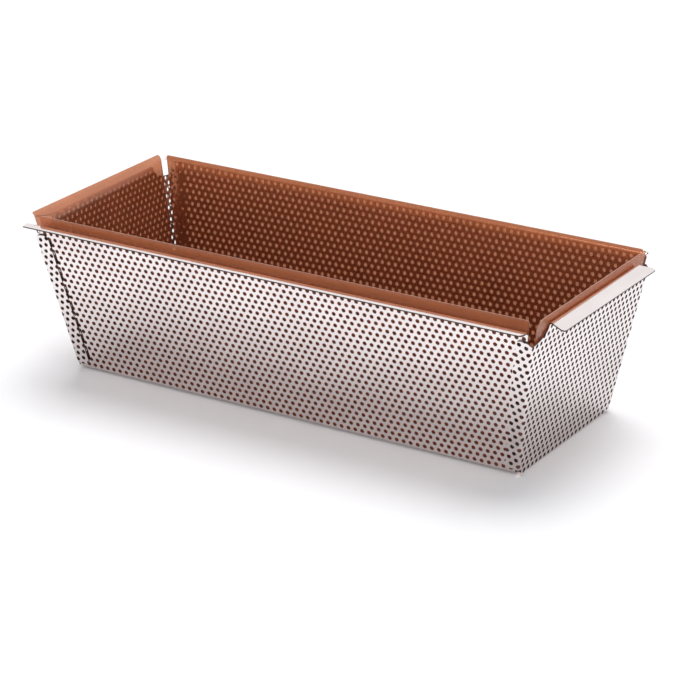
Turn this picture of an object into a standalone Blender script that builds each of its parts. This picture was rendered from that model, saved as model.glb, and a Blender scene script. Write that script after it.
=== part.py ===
"""A loaf pan folded from perforated steel sheet, with a lift-out liner of coated glass fabric.

The pan stands on z = 0, centred on x = 0 and y = 0, and its length runs along X.
Each sheet is drawn as a flat blank on its outer face, bent along its fold lines and given its thickness.
A blank lies in its own XY plane, with the inside of the pan on its +Z side.
"""
import bmesh
import bpy
from math import acos, atan, atan2, ceil, cos, pi, sin, tan
from mathutils import Matrix, Vector

# Pan, in metres: the outer faces of its walls, at the rim and at the foot
RIM_LENGTH = 0.256
RIM_WIDTH = 0.1055
BASE_LENGTH = 0.23025
BASE_WIDTH = 0.0797
RIM_HEIGHT = 0.0712
SHEET = 0.0006
BEND_RADIUS = 0.0008
GAP = 0.0003
EDGE_GAP = 0.0006

# Lips folded outwards along the rim: a side lip runs past its wall on the left and stops short on the right,
# where the long walls and the floor stop short of the end plate too
LIP_BEND = pi/2
SIDE_LIP = 0.0036
SIDE_LIP_PROUD = 0.0037
SIDE_LIP_SHORT = 0.0004
WALL_SHORT = 0.0012
END_LIP = 0.0082
END_LIP_FLARE = 0.0030
LIP_CORNER = 0.0015

# Flaps and flanges that hold the end plates to the trough, and the notch above each flap
CORNER_FLAP = 0.0074
FLAP_CORNER = 0.0030
FLAP_FOOT = 0.0030
FLAP_DROP = 0.0050
NOTCH_DEPTH = 0.0070
NOTCH_WIDTH = 0.01425
FLOOR_FLANGE = 0.0080
FLANGE_INSET = 0.0040

# Liner: its long flaps stand steeper than the walls, so that they lie inside the walls' slope at the top,
# and the slits at their ends leave them room to fold in past the end flaps
LINER = 0.0004
LINER_PROUD = 0.0038
LONG_FLAP_INSIDE = 0.0035
CREASE_INSET = 0.0006
SLIT_FOOT = 0.0008
SLIT_TIGHT = 0.0005
SLIT_FOLD = 0.0014
SLIT_OPEN = 0.0026
SLIT_WIDE = 0.0035
SMALL_CORNER = 0.0010
LARGE_CORNER = 0.0045

# Steps in a bend, and the turn from point to point in a round corner
BEND_STEPS = 5
CORNER_STEP = pi/16

# Levels and slopes that follow from the sizes
FLOOR_Z = SHEET+GAP
FLOOR_TOP = FLOOR_Z+SHEET
LINER_Z = FLOOR_TOP+GAP
FLAP_Z = LINER_Z+LINER+GAP
FLAP_TOP = RIM_HEIGHT+LINER_PROUD
SIDE_LEAN = atan2((RIM_WIDTH-BASE_WIDTH)/2, RIM_HEIGHT-FLOOR_Z)
END_LEAN = atan2((RIM_LENGTH-BASE_LENGTH)/2, RIM_HEIGHT)

STEEL = dict(colour=(0.72, 0.70, 0.69), roughness=0.32, metallic=1.0)
FABRIC = dict(colour=(0.36, 0.13, 0.05), roughness=0.45, metallic=0.0)


def wall_x(z, depth=0.0):
    """Half-length of the pan at height z, on a plane at a depth inside the end plates' outer faces."""
    return BASE_LENGTH/2+z*tan(END_LEAN)-depth/cos(END_LEAN)


def wall_y(z, depth=0.0):
    """Half-width of the pan at height z, on a plane at a depth inside the long walls' outer faces."""
    return BASE_WIDTH/2+(z-FLOOR_Z)*tan(SIDE_LEAN)-depth/cos(SIDE_LEAN)


class Bend:
    """A bend in a sheet, by an angle that is positive where the sheet turns towards the pan's inside.

    tangent is the distance from the bend's sharp corner to its start, and arc its length in the blank.
    """

    def __init__(self, angle):
        self.side = 1 if angle > 0 else -1
        self.radius = BEND_RADIUS+(SHEET if angle > 0 else 0)
        self.turn = abs(angle)
        self.tangent = self.radius*tan(self.turn/2)
        self.arc = self.radius*self.turn

    def flat(self, leg):
        """Length in the blank, from the bend's start, of a leg measured from the bend's sharp corner."""
        return self.arc+leg-self.tangent

    def apply(self, sheet, start, outward):
        """Bends all of the sheet that lies beyond the line through start, square to outward."""
        start = start.to_3d()
        outward = outward.to_3d()
        for step in range(BEND_STEPS+1):
            everything = sheet.verts[:]+sheet.edges[:]+sheet.faces[:]
            line = start+outward*self.arc*step/BEND_STEPS
            bmesh.ops.bisect_plane(sheet, geom=everything, dist=1e-6, plane_co=line, plane_no=outward)
        for vert in sheet.verts:
            beyond = (vert.co-start).dot(outward)
            if beyond > 0:
                turned = min(beyond, self.arc)/self.radius
                rest = max(beyond-self.arc, 0)
                reach = self.radius-self.side*vert.co.z
                vert.co += outward*(reach*sin(turned)+rest*cos(turned)-beyond)
                vert.co.z = self.side*(self.radius-reach*cos(turned)+rest*sin(turned))


def sweep(centre, radii, start, end):
    """Points along a stretch of an ellipse whose axes lie along X and Y."""
    steps = ceil(abs(end-start)/CORNER_STEP)
    angles = [start+(end-start)*step/steps for step in range(steps+1)]
    return [Vector((centre.x+radii[0]*cos(angle), centre.y+radii[1]*sin(angle))) for angle in angles]


def rounded(before, corner, after, radius):
    """Points that round off a corner of an outline."""
    to_before = (before-corner).normalized()
    to_after = (after-corner).normalized()
    half = to_before.angle(to_after)/2
    centre = corner+(to_before+to_after).normalized()*radius/sin(half)
    first = corner+to_before*radius/tan(half)-centre
    last = corner+to_after*radius/tan(half)-centre
    turn = atan2(first.cross(last), first.dot(last))
    steps = ceil(abs(turn)/CORNER_STEP)
    return [centre+Matrix.Rotation(turn*step/steps, 2)@first for step in range(steps+1)]


def blank(outline):
    """A flat sheet in the XY plane, filled from its outline by a 2D curve."""
    curve = bpy.data.curves.new("outline", "CURVE")
    curve.dimensions = "2D"
    curve.fill_mode = "BOTH"
    spline = curve.splines.new("POLY")
    spline.points.add(len(outline)-1)
    spline.use_cyclic_u = True
    for point, place in zip(spline.points, outline):
        point.co = (place.x, place.y, 0, 1)
    drawing = bpy.data.objects.new("outline", curve)
    pan.objects.link(drawing)
    bpy.context.view_layer.update()
    mesh = bpy.data.meshes.new_from_object(drawing.evaluated_get(bpy.context.evaluated_depsgraph_get()))
    sheet = bmesh.new()
    sheet.from_mesh(mesh)
    bmesh.ops.remove_doubles(sheet, verts=sheet.verts, dist=1e-6)
    bmesh.ops.reverse_faces(sheet, faces=[face for face in sheet.faces if face.normal.z < 0])
    bmesh.ops.dissolve_faces(sheet, faces=sheet.faces)
    bpy.data.meshes.remove(mesh)
    bpy.data.objects.remove(drawing)
    bpy.data.curves.remove(curve)
    return sheet


def material(name, look):
    """A Principled material with one colour."""
    made = bpy.data.materials.new(name)
    made.use_nodes = True
    shader = made.node_tree.nodes["Principled BSDF"]
    shader.inputs["Base Color"].default_value = (*look["colour"], 1)
    shader.inputs["Roughness"].default_value = look["roughness"]
    shader.inputs["Metallic"].default_value = look["metallic"]
    return made


def piece(name, sheet, thickness, place, look, halved=None):
    """An object for a bent sheet, given its thickness, and mirrored along one axis if only half is drawn."""
    mesh = bpy.data.meshes.new(name)
    sheet.to_mesh(mesh)
    sheet.free()
    mesh.materials.append(material(name, look))
    made = bpy.data.objects.new(name, mesh)
    made.matrix_world = place
    pan.objects.link(made)
    if halved:
        mirror = made.modifiers.new("Other half", "MIRROR")
        mirror.use_axis = [axis == halved for axis in "XYZ"]
        mirror.merge_threshold = 0.00001
    solid = made.modifiers.new("Thickness", "SOLIDIFY")
    solid.thickness = thickness
    solid.offset = 1
    solid.use_even_offset = True
    return made


def standing(face_x, face_y, foot, lean, quarter):
    """Place of a blank that stands on its foot and leans out: quarter turns it from the back to each wall."""
    tilt = Matrix.Rotation(pi/2-lean, 4, "X")
    return Matrix.Rotation(quarter*pi/2, 4, "Z")@Matrix.Translation((face_x, face_y, foot))@tilt


def trough():
    """Floor, long walls and side lips, folded from one sheet: the back half, to be mirrored."""
    wall = Bend(pi/2-SIDE_LEAN)
    lip = Bend(-LIP_BEND)
    slant = (RIM_HEIGHT-FLOOR_Z)/cos(SIDE_LEAN)
    wall_start = BASE_WIDTH/2-wall.tangent
    lip_start = wall_start+wall.flat(slant)-lip.tangent
    lip_edge = lip_start+lip.flat(SIDE_LIP)
    floor_left = EDGE_GAP-wall_x(FLOOR_Z, SHEET)
    floor_right = -floor_left-WALL_SHORT
    rim_left = EDGE_GAP-wall_x(RIM_HEIGHT, SHEET)
    rim_right = -rim_left-WALL_SHORT
    lip_left = rim_left-SIDE_LIP_PROUD
    lip_right = rim_right-SIDE_LIP_SHORT
    outline = [Vector(point) for point in (
        (floor_left, 0), (floor_right, 0), (floor_right, wall_start), (rim_right, lip_start),
        (lip_right, lip_start), (lip_right, lip_edge), (lip_left, lip_edge), (lip_left, lip_start),
        (rim_left, lip_start), (floor_left, wall_start))]
    sheet = blank(outline)
    lip.apply(sheet, Vector((0, lip_start)), Vector((0, 1)))
    wall.apply(sheet, Vector((0, wall_start)), Vector((0, 1)))
    piece("trough", sheet, SHEET, Matrix.Translation((0, 0, FLOOR_Z)), STEEL, "Y")


def end_plate(name, quarter):
    """An end wall with its lip, its corner flaps and its floor flange: the right half, to be mirrored."""
    flap = Bend(acos(sin(END_LEAN)*sin(SIDE_LEAN)))
    floor = Bend(pi/2-END_LEAN)
    lip = Bend(-LIP_BEND)
    slant = RIM_HEIGHT/cos(END_LEAN)
    up = Vector((tan(SIDE_LEAN)*cos(END_LEAN), 1)).normalized()
    out = Vector((up.y, -up.x))
    foot = Vector((wall_y(0, -GAP-SHEET), 0))

    def flap_point(height, beyond):
        """A point in the blank at a height up the fold line and beyond the start of the flap's bend."""
        return foot+up*height/up.y+out*(beyond-flap.tangent)

    flange = BASE_WIDTH/2-FLANGE_INSET
    flange_edge = floor.tangent-floor.flat(FLOOR_FLANGE)
    flap_edge = flap.flat(CORNER_FLAP)
    flap_foot = flap_point(FLAP_FOOT, flap_edge)
    flap_corner = flap_point(slant-FLAP_DROP, flap_edge)
    flap_top = flap_point(slant-FLAP_DROP, flap.arc)
    notch_foot = flap_point(slant-NOTCH_DEPTH, 0)
    lip_start = slant-lip.tangent
    lip_edge = lip_start+lip.flat(END_LIP)
    lip_root = Vector((RIM_WIDTH/2-NOTCH_WIDTH, lip_start+lip.arc))
    lip_end = Vector((lip_root.x+END_LIP_FLARE, lip_edge))
    notch = Vector((notch_foot.x, lip_start))
    notch_size = (notch.x-lip_root.x, notch.y-notch_foot.y)
    outline = [Vector((0, flange_edge)), Vector((flange, flange_edge)), Vector((flange, floor.tangent))]
    outline += [flap_point(floor.tangent, 0), flap_point(FLAP_FOOT, 0), flap_foot]
    outline += rounded(flap_foot, flap_corner, flap_top, FLAP_CORNER)
    outline += [flap_top]
    outline += sweep(notch, notch_size, -pi/2, -pi)
    outline += [lip_root]
    outline += rounded(lip_root, lip_end, Vector((0, lip_edge)), LIP_CORNER)
    outline += [Vector((0, lip_edge))]
    sheet = blank(outline)
    floor.apply(sheet, Vector((0, floor.tangent)), Vector((0, -1)))
    lip.apply(sheet, Vector((0, lip_start)), Vector((0, 1)))
    flap.apply(sheet, flap_point(0, 0), out)
    piece(name, sheet, SHEET, standing(0, wall_x(0), 0, END_LEAN, quarter), STEEL, "X")


def liner_floor():
    """The part of the liner that lies on the pan's floor."""
    half_length = wall_x(LINER_Z, SHEET)-CREASE_INSET
    half_width = wall_y(LINER_Z, SHEET)-CREASE_INSET
    corners = ((-1, -1), (1, -1), (1, 1), (-1, 1))
    sheet = blank([Vector((side*half_length, end*half_width)) for side, end in corners])
    piece("liner_floor", sheet, LINER, Matrix.Translation((0, 0, LINER_Z)), FABRIC)


def liner_flap(name, face, lean, reach, left, right, quarter):
    """A flap of the liner, which leans on a wall of the pan.

    face is where the flap's outer face stands at its foot, and reach(z) the half-length that its wall leaves.
    left and right give, for each end, the slit at the top and the radius of the top corner.
    """
    slant = (FLAP_TOP-FLAP_Z)/cos(lean)
    foot_left = Vector((SLIT_FOOT-reach(FLAP_Z), 0))
    foot_right = Vector((reach(FLAP_Z)-SLIT_FOOT, 0))
    top_left = Vector((left[0]-reach(FLAP_TOP), slant))
    top_right = Vector((reach(FLAP_TOP)-right[0], slant))
    outline = [foot_left, foot_right]
    outline += rounded(foot_right, top_right, top_left, right[1])
    outline += rounded(top_right, top_left, foot_left, left[1])
    piece(name, blank(outline), LINER, standing(0, face, FLAP_Z, lean, quarter), FABRIC)


def liner():
    """The liner: one creased sheet, as its floor and its four flaps."""
    liner_floor()
    side_face = wall_y(FLAP_Z, SHEET+GAP)
    side_slope = (wall_y(FLAP_TOP, SHEET+GAP)-LONG_FLAP_INSIDE-side_face)/(FLAP_TOP-FLAP_Z)
    end_face = wall_x(FLAP_Z, SHEET+GAP)

    def side_reach(z):
        """Half-length that the end flaps leave to a long flap."""
        return wall_x(z, SHEET+GAP+LINER)

    def end_reach(z):
        """Half-width from the middle to the long flaps' outer faces."""
        return side_face+(z-FLAP_Z)*side_slope

    side_lean = atan(side_slope)
    tight, fold, opened, wide = [(slit, SMALL_CORNER) for slit in (SLIT_TIGHT, SLIT_FOLD, SLIT_OPEN, SLIT_WIDE)]
    liner_flap("liner_back_flap", side_face, side_lean, side_reach, fold, fold, 0)
    liner_flap("liner_front_flap", side_face, side_lean, side_reach, wide, fold, 2)
    liner_flap("liner_left_flap", end_face, END_LEAN, end_reach, tight, opened, 1)
    liner_flap("liner_right_flap", end_face, END_LEAN, end_reach, tight, (SLIT_TIGHT, LARGE_CORNER), 3)


for old in list(bpy.data.objects):
    bpy.data.objects.remove(old)
pan = bpy.data.collections.new("perforated_loaf_pan")
bpy.context.scene.collection.children.link(pan)
trough()
end_plate("left_end_plate", 1)
end_plate("right_end_plate", 3)
liner()
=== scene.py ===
"""A loaf pan of perforated steel sheet with a loose liner of coated glass fabric.

Each sheet is cut from a flat blank with its holes, bent along its fold lines and set in its place.
Lengths are in metres, and a blank lies in its own XY plane with the inside of the pan on its +Z side.
"""
from math import acos, atan, atan2, ceil, cos, floor, pi, radians, sin, tan

import bpy
import numpy as np
from mathutils import Matrix, Vector
from mathutils.geometry import delaunay_2d_cdt


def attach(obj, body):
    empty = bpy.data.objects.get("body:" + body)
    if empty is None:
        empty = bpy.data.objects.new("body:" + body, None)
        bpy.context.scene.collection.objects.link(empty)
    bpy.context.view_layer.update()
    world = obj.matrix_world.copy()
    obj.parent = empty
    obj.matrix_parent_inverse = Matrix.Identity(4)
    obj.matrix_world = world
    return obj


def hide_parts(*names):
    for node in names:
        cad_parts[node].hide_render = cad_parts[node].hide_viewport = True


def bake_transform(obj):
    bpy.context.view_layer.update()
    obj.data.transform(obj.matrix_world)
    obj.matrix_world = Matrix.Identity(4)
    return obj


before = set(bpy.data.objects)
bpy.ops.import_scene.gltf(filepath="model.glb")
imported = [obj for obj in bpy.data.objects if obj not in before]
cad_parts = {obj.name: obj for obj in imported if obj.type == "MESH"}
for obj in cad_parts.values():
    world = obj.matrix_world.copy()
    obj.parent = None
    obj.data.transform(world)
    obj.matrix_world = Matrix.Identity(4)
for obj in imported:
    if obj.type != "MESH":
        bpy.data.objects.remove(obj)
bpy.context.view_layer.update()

# The solids' sizes: outer faces of the walls, at the rim and at the foot
RIM_LENGTH = 0.256
RIM_WIDTH = 0.1055
BASE_LENGTH = 0.23025
BASE_WIDTH = 0.0797
RIM_HEIGHT = 0.0712
SHEET = 0.0006
BEND_RADIUS = 0.0008
GAP = 0.0003
EDGE_GAP = 0.0006
LIP_BEND = pi/2
SIDE_LIP = 0.0036
SIDE_LIP_PROUD = 0.0037
SIDE_LIP_SHORT = 0.0004
SIDE_LIP_CORNER = 0.0022
WALL_SHORT = 0.0012
END_LIP = 0.0082
END_LIP_FLARE = 0.0030
END_LIP_CORNER = 0.0015
CORNER_FLAP = 0.0074
FLAP_CORNER = 0.0030
FLAP_FOOT = 0.0030
FLAP_DROP = 0.0050
NOTCH_DEPTH = 0.0070
NOTCH_WIDTH = 0.01425
FLOOR_FLANGE = 0.0080
FLANGE_INSET = 0.0040
LINER = 0.0004
LINER_PROUD = 0.0038
LONG_FLAP_INSIDE = 0.0035
SLIT_FOOT = 0.0008
SLIT_TIGHT = 0.0005
SLIT_FOLD = 0.0014
SLIT_OPEN = 0.0026
SLIT_WIDE = 0.0035
SMALL_CORNER = 0.0010
LARGE_CORNER = 0.0045

# The perforation: rows run along the pan on the trough and across it on the end plates
HOLE = 0.0010
PITCH = 0.0035
HOLE_SIDES = 12
SIDE_ROWS = dict(first=-0.07557, apart=0.0028735, shift=0.00973)
END_ROWS = dict(first=0.04194, apart=0.002856, shift=0.00130)
# The trough's two halves meet midway between this row and the next
SPLIT_ROW = 26
# Over its floor the rows are spread by this much to each side
FLOOR_SPREAD = 0.00082
# The holes' centres keep this far from where the bends start, at its lips and at its foot
RIM_MARGIN = 0.0009
FOOT_MARGIN = 0.0004
# The steel left beside a hole at a wall's right end, for holes down to this depth below the lip
END_MARGIN = 0.0003
END_MARGIN_DEPTH = 0.012
# The end plates' rows are laid out over this much to each side, and the outline cuts them off
END_ROWS_REACH = 0.07

# The fabric as it is, its threads, its crease, and the strip of floor that goes with each long flap
CLOTH = 0.0003
THREAD = 0.00042
CREASE = 0.0005
STRIP = 0.0040
# From just under the rim the left flap's free edge curls out, more so at the front, and the right
# flap's leans in a little at the back
CURL_DEPTH = 0.001
CURL_POWER = 1.4
LEFT_CURL = 0.0029
LEFT_CURL_SKEW = 0.0009
RIGHT_LEAN = 0.0007
# The long flaps' top edges: how far each stands out at its middle, or in where that is below 0, how
# much further out at its right end as seen from inside the pan, and how far its right corner folds in
BACK_BOW = dict(middle=-0.0004, slope=0.0007, corner=0.0007)
FRONT_BOW = dict(middle=0.0004, slope=0.0008, corner=0.0)
CORNER_POWER = 8

# How finely the sheets are made. A bend's lines reach past the blank on both sides
BEND_STEPS = 5
BEND_REACH = 0.2
CORNER_STEP = pi/16
SHARP_ANGLE = radians(35)
END_FLAP_GRID = 0.003
LONG_FLAP_GRID = 0.005
MERGED = 1e-7
NEAR = 1e-6

FLOOR_Z = SHEET+GAP
LINER_Z = FLOOR_Z+SHEET+GAP
FLAP_Z = LINER_Z+LINER+GAP
FLAP_TOP = RIM_HEIGHT+LINER_PROUD
SIDE_LEAN = atan2((RIM_WIDTH-BASE_WIDTH)/2, RIM_HEIGHT-FLOOR_Z)
END_LEAN = atan2((RIM_LENGTH-BASE_LENGTH)/2, RIM_HEIGHT)

# Where the steel's painted shade begins, darkening it towards the foot, and between which heights the
# liner turns paler with painted light
PAINTED_SHADE_TOP = 0.7*RIM_HEIGHT
PAINTED_LIGHT_START = RIM_HEIGHT-0.003
PAINTED_LIGHT_END = RIM_HEIGHT-0.0003

# The lamps: strength, spread in degrees, and the way in which each one shines
LAMPS = {
    "key": (2.0, 40, (0.12, -0.34, -0.90)),
    "fill": (0.7, 40, (-0.96, 0.12, -0.25)),
    "front": (1.0, 30, (-0.25, 0.95, -0.12)),
}
STAGE_REACH = 8

# The camera: its place, its azimuth, elevation and roll in degrees, and its focal length in pixels
CAMERA_PLACE = (0.6651, -1.0290, 0.5257)
CAMERA_TURN = (32.878, 22.245, -0.824)
FOCAL_LENGTH = 2971.0
FRAME_WIDTH = 676
SENSOR_WIDTH = 36


def wall_x(z, depth=0.0):
    """Where the end wall is at a height: its outer face, or as deep under it as depth says."""
    return BASE_LENGTH/2+z*tan(END_LEAN)-depth/cos(END_LEAN)


def wall_y(z, depth=0.0):
    """Where the long wall is at a height: its outer face, or as deep under it as depth says."""
    return BASE_WIDTH/2+(z-FLOOR_Z)*tan(SIDE_LEAN)-depth/cos(SIDE_LEAN)


class Bend:
    """A bend in a sheet, by an angle that is positive where it turns towards the pan's inside."""

    def __init__(self, angle, inner=BEND_RADIUS, thickness=SHEET):
        self.side = 1 if angle > 0 else -1
        self.radius = inner+(thickness if angle > 0 else 0)
        self.turn = abs(angle)
        self.tangent = self.radius*tan(self.turn/2)
        self.arc = self.radius*self.turn

    def flat(self, leg):
        """Length in the blank, from the bend's start, of a leg measured from its sharp corner."""
        return self.arc+leg-self.tangent

    def lines(self, start, outward):
        """The lines in the blank along which this bend turns, step by step."""
        along = Vector((-outward.y, outward.x))*BEND_REACH
        middles = [start+outward*self.arc*step/BEND_STEPS for step in range(BEND_STEPS+1)]
        return [(middle-along, middle+along) for middle in middles]

    def apply(self, points, normals, start, outward):
        """Bends the points and their normals beyond the line through start, square to outward."""
        outward = np.array(outward)
        beyond = (points[:, :2]-np.array(start))@outward
        past = beyond > 0
        turned = np.minimum(beyond, self.arc)/self.radius
        rest = np.maximum(beyond-self.arc, 0)
        reach = self.radius-self.side*points[:, 2]
        shift = reach*np.sin(turned)+rest*np.cos(turned)-beyond
        level = self.side*(self.radius-reach*np.cos(turned)+rest*np.sin(turned))
        points[past, :2] += shift[past, None]*outward
        points[past, 2] = level[past]
        along = normals[:, :2]@outward
        swung = along*np.cos(turned)-self.side*normals[:, 2]*np.sin(turned)
        risen = self.side*along*np.sin(turned)+normals[:, 2]*np.cos(turned)
        normals[past, :2] += (swung-along)[past, None]*outward
        normals[past, 2] = risen[past]


def sweep(centre, radii, start, end):
    """Points along a stretch of an ellipse whose axes lie along X and Y."""
    steps = ceil(abs(end-start)/CORNER_STEP)
    angles = [start+(end-start)*step/steps for step in range(steps+1)]
    return [Vector((centre.x+radii[0]*cos(angle), centre.y+radii[1]*sin(angle))) for angle in angles]


def rounded(before, corner, after, radius):
    """Points that round off a corner of an outline."""
    to_before = (before-corner).normalized()
    to_after = (after-corner).normalized()
    half = to_before.angle(to_after)/2
    centre = corner+(to_before+to_after).normalized()*radius/sin(half)
    first = corner+to_before*radius/tan(half)-centre
    last = corner+to_after*radius/tan(half)-centre
    turn = atan2(first.cross(last), first.dot(last))
    steps = ceil(abs(turn)/CORNER_STEP)
    return [centre+Matrix.Rotation(turn*step/steps, 2)@first for step in range(steps+1)]


def area(outline):
    """Area of a flat outline, positive where its points go round to the left."""
    return sum(a.cross(b) for a, b in zip(outline, outline[1:]+outline[:1]))/2


def hole_centres(rows, low, high):
    """Centres of the holes in a stretch of the blank, in rows that are staggered by half a pitch."""
    first_row = ceil((low.y-rows["first"])/rows["apart"])
    last_row = floor((high.y-rows["first"])/rows["apart"])
    centres = []
    for row in range(first_row, last_row+1):
        offset = rows["shift"]+(row % 2)*PITCH/2
        for place in range(ceil((low.x-offset)/PITCH), floor((high.x-offset)/PITCH)+1):
            centres.append(Vector((offset+place*PITCH, rows["first"]+row*rows["apart"])))
    return centres


def filling(outline, step):
    """Points on a grid within an outline's box, for a sheet that isn't quite flat."""
    low = Vector((min(point.x for point in outline), min(point.y for point in outline)))
    high = Vector((max(point.x for point in outline), max(point.y for point in outline)))
    columns = int((high.x-low.x)/step)
    rows = int((high.y-low.y)/step)
    return [Vector((low.x+(column+0.5+0.25*(row % 2))*step, low.y+(row+0.5)*step))
            for row in range(rows) for column in range(columns)]


def cut(outline, bends, holes=(), points=()):
    """A flat sheet of triangles within the outline and outside the holes, as points and faces.

    It has edges along the lines of the bends. Each comes with the point where it starts and the way
    outwards.
    """
    places = list(outline if area(outline) > 0 else outline[::-1])
    rings = [list(range(len(outline)))]
    for hole in holes:
        rings.append(list(range(len(places), len(places)+HOLE_SIDES)))
        for side in range(HOLE_SIDES):
            angle = 2*pi*(side+0.5)/HOLE_SIDES
            places.append(hole+Vector((cos(angle), sin(angle)))*HOLE)
    edges = []
    for bend, start, outward in bends:
        for line in bend.lines(start, outward):
            edges.append((len(places), len(places)+1))
            places += line
    places += points
    made, _, faces, _, _, sources = delaunay_2d_cdt(places, edges, rings, 1, MERGED, True)
    kept = np.array([face for face, source in zip(faces, sources) if list(source) == [0]])
    used, kept = np.unique(kept, return_inverse=True)
    return np.array(made)[used], kept.reshape(-1, 3)


def thick(name, flat, faces, thickness, bends, place, looks, open_at=None, shape=None, level_at=None):
    """An object from a flat sheet: given its thickness, bent, and set in place.

    looks are its two materials, for its faces and for its cut edges. open_at(x, y) is true along an
    edge where the sheet goes on in another piece, and shape moves the points once they are bent.
    level_at(x, y) is true where the surface is eased level, as at the root of a lip that is rolled and
    not quite flat.
    """
    count = len(flat)
    points = np.zeros((2*count, 3))
    points[:count, :2] = flat
    points[count:, :2] = flat
    points[count:, 2] = thickness
    normals = np.zeros((2*count, 3))
    normals[:, 2] = np.where(np.arange(2*count) < count, -1, 1)
    edges = np.concatenate([faces[:, [0, 1]], faces[:, [1, 2]], faces[:, [2, 0]]])
    keys = edges[:, 0]*count+edges[:, 1]
    rim = edges[~np.isin(keys, edges[:, 1]*count+edges[:, 0])]
    if open_at is not None:
        closed = ~(open_at(*flat[rim[:, 0]].T) & open_at(*flat[rim[:, 1]].T))
        rim = rim[closed]
    sides = np.stack([rim[:, 0], rim[:, 1], rim[:, 1]+count, rim[:, 0]+count], axis=1)
    for bend, start, outward in bends:
        bend.apply(points, normals, start, outward)
    if shape is not None:
        shape(points)

    mesh = bpy.data.meshes.new(name)
    corners = np.concatenate([faces[:, ::-1].ravel(), (faces+count).ravel(), sides.ravel()])
    sizes = np.concatenate([np.full(2*len(faces), 3), np.full(len(sides), 4)])
    mesh.vertices.add(len(points))
    mesh.vertices.foreach_set("co", points.ravel())
    mesh.loops.add(len(corners))
    mesh.loops.foreach_set("vertex_index", corners)
    mesh.polygons.add(len(sizes))
    mesh.polygons.foreach_set("loop_start", np.concatenate([[0], np.cumsum(sizes)[:-1]]))
    mesh.polygons.foreach_set("material_index", (sizes == 4).astype(np.int32))
    mesh.update(calc_edges=True)
    blank = mesh.uv_layers.new(name="Blank")
    blank.data.foreach_set("uv", flat[corners % count].ravel())
    mesh.shade_smooth()
    mesh.set_sharp_from_angle(angle=SHARP_ANGLE)
    if shape is None:
        # The two faces take the bends' own normals, and the cut edges keep theirs
        if level_at is not None:
            normals[np.tile(level_at(*flat.T), 2), :2] = 0
        exact = normals[corners]
        exact[2*faces.size:] = 0
        mesh.normals_split_custom_set(exact.tolist())
    mesh.transform(place)
    placed = np.empty(3*len(points), dtype=np.float32)
    mesh.vertices.foreach_get("co", placed)
    mesh.attributes.new("rest_height", "FLOAT", "POINT").data.foreach_set("value", placed[2::3])
    for look in looks:
        mesh.materials.append(look)
    made = bpy.data.objects.new(name, mesh)
    bpy.context.scene.collection.objects.link(made)
    return made


class Nodes:
    """A small helper that adds nodes to a material or world and joins them."""

    def __init__(self, owner):
        owner.use_nodes = True
        self.tree = owner.node_tree
        self.tree.nodes.clear()

    def add(self, kind, settings=None, **inputs):
        """A node with its settings, and its inputs by name, or by number as in i0 and i1."""
        node = self.tree.nodes.new(kind)
        for key, value in (settings or {}).items():
            setattr(node, key, value)
        for key, value in inputs.items():
            key = int(key[1:]) if key[0] == "i" and key[1:].isdigit() else key.replace("_", " ")
            if isinstance(value, bpy.types.NodeSocket):
                self.tree.links.new(value, node.inputs[key])
            else:
                node.inputs[key].default_value = value
        return node

    def math(self, operation, *values):
        inputs = {f"i{index}": value for index, value in enumerate(values)}
        return self.add("ShaderNodeMath", {"operation": operation}, **inputs).outputs[0]

    def blank(self):
        """The place on the flat blank, in metres."""
        return self.add("ShaderNodeUVMap", {"uv_map": "Blank"}).outputs[0]

    def rest_height(self):
        """The height above the ground at rest, whatever the pose."""
        return self.add("ShaderNodeAttribute", {"attribute_name": "rest_height"}).outputs["Fac"]

    def noise(self, blank, scales, detail, **more):
        """Noise with its own scale along each side of the blank."""
        place = self.add("ShaderNodeMapping", Vector=blank, Scale=(*scales, 1)).outputs[0]
        return self.add("ShaderNodeTexNoise", Vector=place, Scale=1.0, Detail=detail, **more).outputs[0]

    def ramp(self, value, low, high, low_colour, high_colour):
        """One colour where a value is low and the other where it is high."""
        node = self.add("ShaderNodeValToRGB", Fac=value)
        first, last = node.color_ramp.elements
        first.position = low
        first.color = (*low_colour, 1)
        last.position = high
        last.color = (*high_colour, 1)
        return node.outputs[0]

    def times(self, share, colour, factor):
        """A colour multiplied by a factor, as far as share says."""
        return self.add("ShaderNodeMixRGB", {"blend_type": "MULTIPLY"}, Fac=share, Color1=colour,
                        Color2=(*factor, 1)).outputs[0]

    def seen(self):
        """1 for the camera's rays and for those that gloss or glass sends on, and otherwise 0."""
        path = self.add("ShaderNodeLightPath")
        direct = self.math("MAXIMUM", path.outputs["Is Camera Ray"], path.outputs["Is Glossy Ray"])
        return self.math("MAXIMUM", direct, path.outputs["Is Transmission Ray"])


def steel():
    """Bright satin steel with a fine rolled grain, and painted shade that darkens and warms it towards
    the foot.
    """
    look = bpy.data.materials.new("perforated_steel")
    nodes = Nodes(look)
    blank = nodes.blank()
    grain = nodes.noise(blank, (150, 4200), 3.0, Roughness=0.6)
    cloud = nodes.noise(blank, (28, 60), 2.0)
    tint = nodes.ramp(cloud, 0.30, 0.70, (0.81, 0.738, 0.732), (0.88, 0.815, 0.808))
    # Painted shade: below seven tenths of the rim's height the steel is painted darker and warmer
    # towards the foot
    foot = nodes.add("ShaderNodeMapRange", Value=nodes.rest_height(), From_Min=PAINTED_SHADE_TOP, From_Max=0.0)
    painted_shade = nodes.times(foot.outputs[0], tint, (0.76, 0.74, 0.735))
    rough = nodes.math("ADD", nodes.math("MULTIPLY", grain, 0.06), nodes.math("MULTIPLY", cloud, 0.05))
    rough = nodes.math("ADD", rough, 0.06)
    bump = nodes.add("ShaderNodeBump", Strength=0.10, Distance=0.00004, Height=grain).outputs[0]
    shader = nodes.add("ShaderNodeBsdfPrincipled", Base_Color=painted_shade, Metallic=1.0, Roughness=rough,
                       Normal=bump)
    nodes.add("ShaderNodeOutputMaterial", Surface=shader.outputs[0])
    return look


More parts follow.
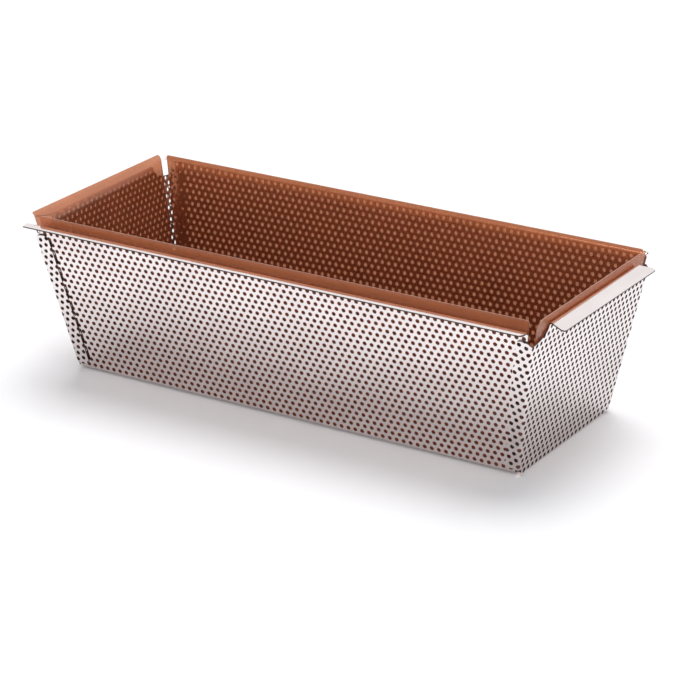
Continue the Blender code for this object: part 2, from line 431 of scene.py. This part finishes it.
def sheared():
    """The steel's cut edges: torn and dull, as a punch and a shear leave them, and painted nearly black
    as painted shade.
    """
    look = bpy.data.materials.new("cut_edge_painted_shade")
    nodes = Nodes(look)
    place = nodes.add("ShaderNodeTexCoord").outputs["Object"]
    tear = nodes.add("ShaderNodeTexNoise", Vector=place, Scale=2600.0, Detail=2.0).outputs[0]
    # Painted shade: the cut edges are painted nearly black, as though they lay in shadow
    tint = nodes.ramp(tear, 0.30, 0.75, (0.035, 0.030, 0.028), (0.09, 0.078, 0.072))
    shader = nodes.add("ShaderNodeBsdfPrincipled", Base_Color=tint, Metallic=1.0, Roughness=0.45)
    nodes.add("ShaderNodeOutputMaterial", Surface=shader.outputs[0])
    return look


def fabric(name, dark, light, through):
    """Glass fabric under a smooth orange-brown coating, thin enough for some light to come through.

    The margin that stands out of the pan is painted paler than the rest: painted light, as if lit
    through with no steel behind it.
    through is the share of the light that passes straight through.
    """
    look = bpy.data.materials.new(name)
    nodes = Nodes(look)
    blank = nodes.blank()
    split = nodes.add("ShaderNodeSeparateXYZ", Vector=blank)
    warp = nodes.math("SINE", nodes.math("MULTIPLY", split.outputs[0], pi/THREAD))
    weft = nodes.math("SINE", nodes.math("MULTIPLY", split.outputs[1], pi/THREAD))
    over = nodes.math("GREATER_THAN", nodes.math("MULTIPLY", warp, weft), 0.0)
    under = nodes.math("SUBTRACT", 1.0, over)
    thread = nodes.math("ADD", nodes.math("MULTIPLY", nodes.math("ABSOLUTE", warp), over),
                        nodes.math("MULTIPLY", nodes.math("ABSOLUTE", weft), under))
    cloud = nodes.noise(blank, (45, 45), 4.0)
    mixed = nodes.math("ADD", nodes.math("MULTIPLY", thread, 0.35), nodes.math("MULTIPLY", cloud, 0.65))
    tint = nodes.ramp(mixed, 0.25, 0.80, dark, light)
    # Painted light: from just below the rim upwards the liner is painted paler, as if lit through with
    # no steel behind it
    margin = nodes.add("ShaderNodeMapRange", {"interpolation_type": "SMOOTHSTEP"},
                       Value=nodes.rest_height(), From_Min=PAINTED_LIGHT_START, From_Max=PAINTED_LIGHT_END)
    pale = nodes.times(margin.outputs[0], tint, (1.9, 2.3, 2.4))
    bump = nodes.add("ShaderNodeBump", Strength=0.35, Distance=0.00006, Height=thread).outputs[0]
    rough = nodes.math("ADD", nodes.math("MULTIPLY", cloud, 0.12), 0.30)
    body = nodes.add("ShaderNodeBsdfPrincipled", Base_Color=pale, Roughness=rough, Normal=bump,
                     Coat_Weight=1.0, Coat_Roughness=0.25, Coat_IOR=1.65)
    glow = nodes.add("ShaderNodeBsdfTranslucent", Color=(0.80, 0.36, 0.16, 1))
    clear = nodes.add("ShaderNodeBsdfTransparent", Color=(1.0, 0.66, 0.50, 1))
    lit = nodes.add("ShaderNodeMixShader", Fac=0.14, i1=body.outputs[0], i2=glow.outputs[0])
    thin = nodes.add("ShaderNodeMixShader", Fac=through, i1=lit.outputs[0], i2=clear.outputs[0])
    nodes.add("ShaderNodeOutputMaterial", Surface=thin.outputs[0])
    return look


def make_trough(looks):
    """Floor, long walls and side lips of one sheet, made as its back half and its front half."""
    wall = Bend(pi/2-SIDE_LEAN)
    lip = Bend(-LIP_BEND)
    slant = (RIM_HEIGHT-FLOOR_Z)/cos(SIDE_LEAN)
    wall_start = BASE_WIDTH/2-wall.tangent
    lip_start = wall_start+wall.flat(slant)-lip.tangent
    lip_edge = lip_start+lip.flat(SIDE_LIP)
    floor_left = EDGE_GAP-wall_x(FLOOR_Z, SHEET)
    floor_right = -floor_left-WALL_SHORT
    rim_left = EDGE_GAP-wall_x(RIM_HEIGHT, SHEET)
    rim_right = -rim_left-WALL_SHORT
    lip_left = rim_left-SIDE_LIP_PROUD
    lip_right = rim_right-SIDE_LIP_SHORT
    halfway = SIDE_ROWS["first"]+(SPLIT_ROW+0.5)*SIDE_ROWS["apart"]
    lip_corner = rounded(Vector((lip_right, lip_start)), Vector((lip_right, lip_edge)),
                         Vector((lip_left, lip_edge)), SIDE_LIP_CORNER)
    corners = [(floor_right, wall_start), (rim_right, lip_start), (lip_right, lip_start)]
    corners += lip_corner
    corners += [(lip_left, lip_edge), (lip_left, lip_start), (rim_left, lip_start)]
    corners += [(floor_left, wall_start)]

    def fits(hole):
        """Whether a hole keeps clear of the bend at the foot and, near the rim, of the right end."""
        up = abs(hole.y)
        end_x = rim_right+(floor_right-rim_right)*(lip_start-up)/(lip_start-wall_start)
        cut_by_end = abs(hole.x-end_x) < HOLE+END_MARGIN and up > lip_start-END_MARGIN_DEPTH
        return not cut_by_end and not -FOOT_MARGIN < up-wall_start < wall.arc

    def at_split(x, y):
        return abs(y-halfway) < NEAR

    def at_lip_root(x, y):
        return (abs(y) > lip_start+lip.arc-NEAR) & (abs(y) < lip_edge-NEAR)

    for name, side in (("trough_back_half", 1), ("trough_front_half", -1)):
        outline = [Vector((floor_left, halfway)), Vector((floor_right, halfway))]
        outline += [Vector((x, side*y)) for x, y in corners]
        outward = Vector((0, side))
        bends = [(lip, outward*lip_start, outward), (wall, outward*wall_start, outward)]
        low, high = sorted((halfway, side*(lip_start-RIM_MARGIN-FLOOR_SPREAD)))
        holes = hole_centres(SIDE_ROWS, Vector((rim_left-HOLE, low)),
                             Vector((rim_right+HOLE, high)))
        for hole in holes:
            hole.y += FLOOR_SPREAD*max(-1, min(1, hole.y/wall_start))
        flat, faces = cut(outline, bends, [hole for hole in holes if fits(hole)])
        half = thick(name, flat, faces, SHEET, bends, Matrix.Translation((0, 0, FLOOR_Z)), looks,
                     open_at=at_split, level_at=at_lip_root)
        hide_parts("trough")
        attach(half, "pan")


def make_end(name, node, quarter, looks):
    """An end wall with its lip, its two corner flaps and its floor flange.

    quarter is how many quarter turns bring it from the back to its end of the pan.
    """
    flap = Bend(acos(sin(END_LEAN)*sin(SIDE_LEAN)))
    under = Bend(pi/2-END_LEAN)
    lip = Bend(-LIP_BEND)
    slant = RIM_HEIGHT/cos(END_LEAN)
    up = Vector((tan(SIDE_LEAN)*cos(END_LEAN), 1)).normalized()
    out = Vector((up.y, -up.x))
    foot = Vector((wall_y(0, -GAP-SHEET), 0))

    def flap_point(height, beyond):
        """A point so far up the wall, and so far beyond the start of the corner flap's bend."""
        return foot+up*height/up.y+out*(beyond-flap.tangent)

    flange = BASE_WIDTH/2-FLANGE_INSET
    flange_edge = under.tangent-under.flat(FLOOR_FLANGE)
    flap_edge = flap.flat(CORNER_FLAP)
    flap_foot = flap_point(FLAP_FOOT, flap_edge)
    flap_corner = flap_point(slant-FLAP_DROP, flap_edge)
    flap_top = flap_point(slant-FLAP_DROP, flap.arc)
    notch_foot = flap_point(slant-NOTCH_DEPTH, 0)
    lip_start = slant-lip.tangent
    lip_edge = lip_start+lip.flat(END_LIP)
    lip_root = Vector((RIM_WIDTH/2-NOTCH_WIDTH, lip_start+lip.arc))
    lip_end = Vector((lip_root.x+END_LIP_FLARE, lip_edge))
    notch = Vector((notch_foot.x, lip_start))
    notch_size = (notch.x-lip_root.x, notch.y-notch_foot.y)
    half = [Vector((flange, flange_edge)), Vector((flange, under.tangent))]
    half += [flap_point(under.tangent, 0), flap_point(FLAP_FOOT, 0), flap_foot]
    half += rounded(flap_foot, flap_corner, flap_top, FLAP_CORNER)
    half += [flap_top]
    half += sweep(notch, notch_size, -pi/2, -pi)
    half += [lip_root]
    half += rounded(lip_root, lip_end, Vector((0, lip_edge)), END_LIP_CORNER)
    outline = half+[Vector((-point.x, point.y)) for point in reversed(half)]
    bends = [(under, Vector((0, under.tangent)), Vector((0, -1))),
             (lip, Vector((0, lip_start)), Vector((0, 1)))]
    start = flap_point(0, 0)
    for side in (1, -1):
        bends.append((flap, Vector((side*start.x, start.y)), Vector((side*out.x, out.y))))
    holes = hole_centres(END_ROWS, Vector((-END_ROWS_REACH, flange_edge-HOLE)),
                         Vector((END_ROWS_REACH, lip_start-HOLE)))
    flat, faces = cut(outline, bends, holes)
    standing = Matrix.Translation((0, wall_x(0), 0))@Matrix.Rotation(pi/2-END_LEAN, 4, "X")
    made = thick(name, flat, faces, SHEET, bends, Matrix.Rotation(quarter*pi/2, 4, "Z")@standing, looks)
    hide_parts(node)
    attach(made, "pan")


def make_liner(looks):
    """The liner: one cut and creased sheet, as its floor with the end flaps, and its two long flaps."""
    side_face = wall_y(FLAP_Z, SHEET+GAP)
    top_face = wall_y(FLAP_TOP, SHEET+GAP)-LONG_FLAP_INSIDE
    side_lean = atan((top_face-side_face)/(FLAP_TOP-FLAP_Z))
    end = Bend(pi/2-END_LEAN, CREASE, CLOTH)
    side = Bend(pi/2-side_lean, CREASE, CLOTH)
    end_start = wall_x(LINER_Z, SHEET+GAP)-end.tangent
    side_start = side_face-(FLAP_Z-LINER_Z)*tan(side_lean)-side.tangent
    seam = side_start-STRIP
    place = Matrix.Translation((0, 0, LINER_Z))
    height = FLAP_TOP-LINER_Z

    end_foot = side_face-SLIT_FOOT
    end_top = end_start+end.flat(height/cos(END_LEAN))
    end_bottom = end_start+end.flat((FLAP_Z-LINER_Z)/cos(END_LEAN))
    feet = [Vector((end_bottom, way*end_foot)) for way in (-1, 1)]

    def flap_end(back, front_corner):
        """Half of the outline: the end flap's side at -y, its top and its side at +y, seen at +x."""
        tops = [Vector((end_top, SLIT_TIGHT-top_face)), Vector((end_top, top_face-back))]
        half = [Vector((end_start, -seam)), Vector((end_start, -end_foot)), feet[0]]
        half += rounded(feet[0], tops[0], tops[1], front_corner)
        half += rounded(tops[0], tops[1], feet[1], SMALL_CORNER)
        return half+[feet[1], Vector((end_start, end_foot)), Vector((end_start, seam))]

    def curl(points):
        """Curls the left flap's free edge out over the lip, and leans the right flap's in."""
        free = RIM_HEIGHT-LINER_Z-CURL_DEPTH
        lift = np.maximum((points[:, 2]-free)/(height-free), 0)
        across = points[:, 1]/top_face
        left = (LEFT_CURL-LEFT_CURL_SKEW*across)*lift**CURL_POWER
        right = RIGHT_LEAN*(across > 0)*across**2*lift
        points[:, 0] -= np.where(points[:, 0] < 0, left, right)

    outline = flap_end(SLIT_TIGHT, LARGE_CORNER)
    outline += [Vector((-point.x, point.y)) for point in reversed(flap_end(SLIT_OPEN, SMALL_CORNER))]
    bends = [(end, Vector((way*end_start, 0)), Vector((way, 0))) for way in (1, -1)]
    flat, faces = cut(outline, bends, points=filling(outline, END_FLAP_GRID))
    base = thick("liner_floor_sheet", flat, faces, CLOTH, bends, place, looks, shape=curl)
    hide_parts("liner_floor", "liner_left_flap", "liner_right_flap")
    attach(base, "liner")

    side_foot = wall_x(FLAP_Z, SHEET+GAP+LINER)-SLIT_FOOT
    side_top = side_start+side.flat(height/cos(side_lean))
    side_bottom = side_start+side.flat((FLAP_Z-LINER_Z)/cos(side_lean))
    reach = wall_x(FLAP_TOP, SHEET+GAP+LINER)

    def long_flap(name, node, turn, left, right, bow):
        """One long flap with its strip of floor, drawn as the back one and turned to its side."""
        foot_left = Vector((-side_foot, side_bottom))
        foot_right = Vector((side_foot, side_bottom))
        top_left = Vector((left-reach, side_top))
        top_right = Vector((reach-right, side_top))
        outline = [Vector((-side_foot, seam)), Vector((side_foot, seam)), foot_right]
        outline += rounded(foot_right, top_right, top_left, SMALL_CORNER)
        outline += rounded(top_right, top_left, foot_left, SMALL_CORNER)
        outline += [foot_left]
        bends = [(side, Vector((0, side_start)), Vector((0, 1)))]

        def bowed(points):
            """Moves the flap's top edge out or in, along a slope and with its right corner."""
            up = np.maximum(points[:, 2]/height, 0)**2
            across = points[:, 0]/reach
            corner = np.maximum(across, 0)**CORNER_POWER
            points[:, 1] += (bow["middle"]+bow["slope"]*across-bow["corner"]*corner)*up

        flat, faces = cut(outline, bends, points=filling(outline, LONG_FLAP_GRID))
        turned = Matrix.Rotation(turn, 4, "Z")@place
        made = thick(name, flat, faces, CLOTH, bends, turned, looks, shape=bowed)
        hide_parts(node+"_flap")
        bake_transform(made)

    long_flap("liner_back_sheet", "liner_back", 0, SLIT_FOLD, SLIT_FOLD, BACK_BOW)
    long_flap("liner_front_sheet", "liner_front", pi, SLIT_WIDE, SLIT_FOLD, FRONT_BOW)


def make_stage():
    """A white floor that keeps the object's shadow, a white surrounding, and three broad soft lamps."""
    mesh = bpy.data.meshes.new("floor")
    corners = [(-STAGE_REACH, -STAGE_REACH, 0), (STAGE_REACH, -STAGE_REACH, 0),
               (STAGE_REACH, STAGE_REACH, 0), (-STAGE_REACH, STAGE_REACH, 0)]
    mesh.from_pydata(corners, [], [(0, 1, 2, 3)])
    ground = bpy.data.objects.new("floor", mesh)
    bpy.context.scene.collection.objects.link(ground)
    look = bpy.data.materials.new("floor")
    nodes = Nodes(look)
    pale = nodes.add("ShaderNodeBsdfDiffuse", Color=(0.95, 0.95, 0.96, 1))
    white = nodes.add("ShaderNodeEmission", Color=(1, 1, 1, 1),
                      Strength=nodes.math("MULTIPLY", nodes.seen(), 0.03))
    both = nodes.add("ShaderNodeAddShader", i0=pale.outputs[0], i1=white.outputs[0])
    nodes.add("ShaderNodeOutputMaterial", Surface=both.outputs[0])
    mesh.materials.append(look)

    world = bpy.data.worlds.new("studio")
    bpy.context.scene.world = world
    nodes = Nodes(world)
    around = nodes.add("ShaderNodeBackground", Color=(0.97, 0.98, 1.0, 1), Strength=0.43)
    white = nodes.add("ShaderNodeBackground", Color=(1, 1, 1, 1), Strength=1.0)
    both = nodes.add("ShaderNodeMixShader", Fac=nodes.seen(), i1=around.outputs[0], i2=white.outputs[0])
    nodes.add("ShaderNodeOutputWorld", Surface=both.outputs[0])

    for name, (energy, spread, towards) in LAMPS.items():
        lamp = bpy.data.lights.new(name, "SUN")
        lamp.energy = energy
        lamp.angle = radians(spread)
        light = bpy.data.objects.new(name, lamp)
        light.rotation_euler = Vector(towards).to_track_quat("-Z", "Y").to_euler()
        bpy.context.scene.collection.objects.link(light)


def make_camera():
    """The photo's camera: where it stands, which way it looks and how it is turned about its axis."""
    azimuth, elevation, roll = (radians(angle) for angle in CAMERA_TURN)
    ahead = Vector((-sin(azimuth)*cos(elevation), cos(azimuth)*cos(elevation), -sin(elevation)))
    right = Vector((cos(azimuth), sin(azimuth), 0))
    up = right.cross(ahead)
    across = right*cos(roll)+up*sin(roll)
    upward = up*cos(roll)-right*sin(roll)
    camera = bpy.data.objects.new("camera", bpy.data.cameras.new("camera"))
    camera.data.sensor_width = SENSOR_WIDTH
    camera.data.lens = SENSOR_WIDTH*FOCAL_LENGTH/FRAME_WIDTH
    camera.data.clip_start = 0.01
    camera.data.clip_end = 50
    turned = Matrix((across, upward, -ahead)).transposed().to_4x4()
    camera.matrix_world = Matrix.Translation(CAMERA_PLACE)@turned
    bpy.context.scene.collection.objects.link(camera)
    bpy.context.scene.camera = camera


make_camera()
metal = (steel(), sheared())
make_trough(metal)
make_end("left_end_sheet", "left_end_plate", 1, metal)
make_end("right_end_sheet", "right_end_plate", 3, metal)
make_liner((fabric("coated_fabric", (0.145, 0.042, 0.0155), (0.265, 0.088, 0.034), 0.48),
            fabric("cut_fabric", (0.10, 0.030, 0.014), (0.22, 0.09, 0.05), 0.10)))
make_stage()
bpy.context.scene.view_settings.view_transform = "Standard"
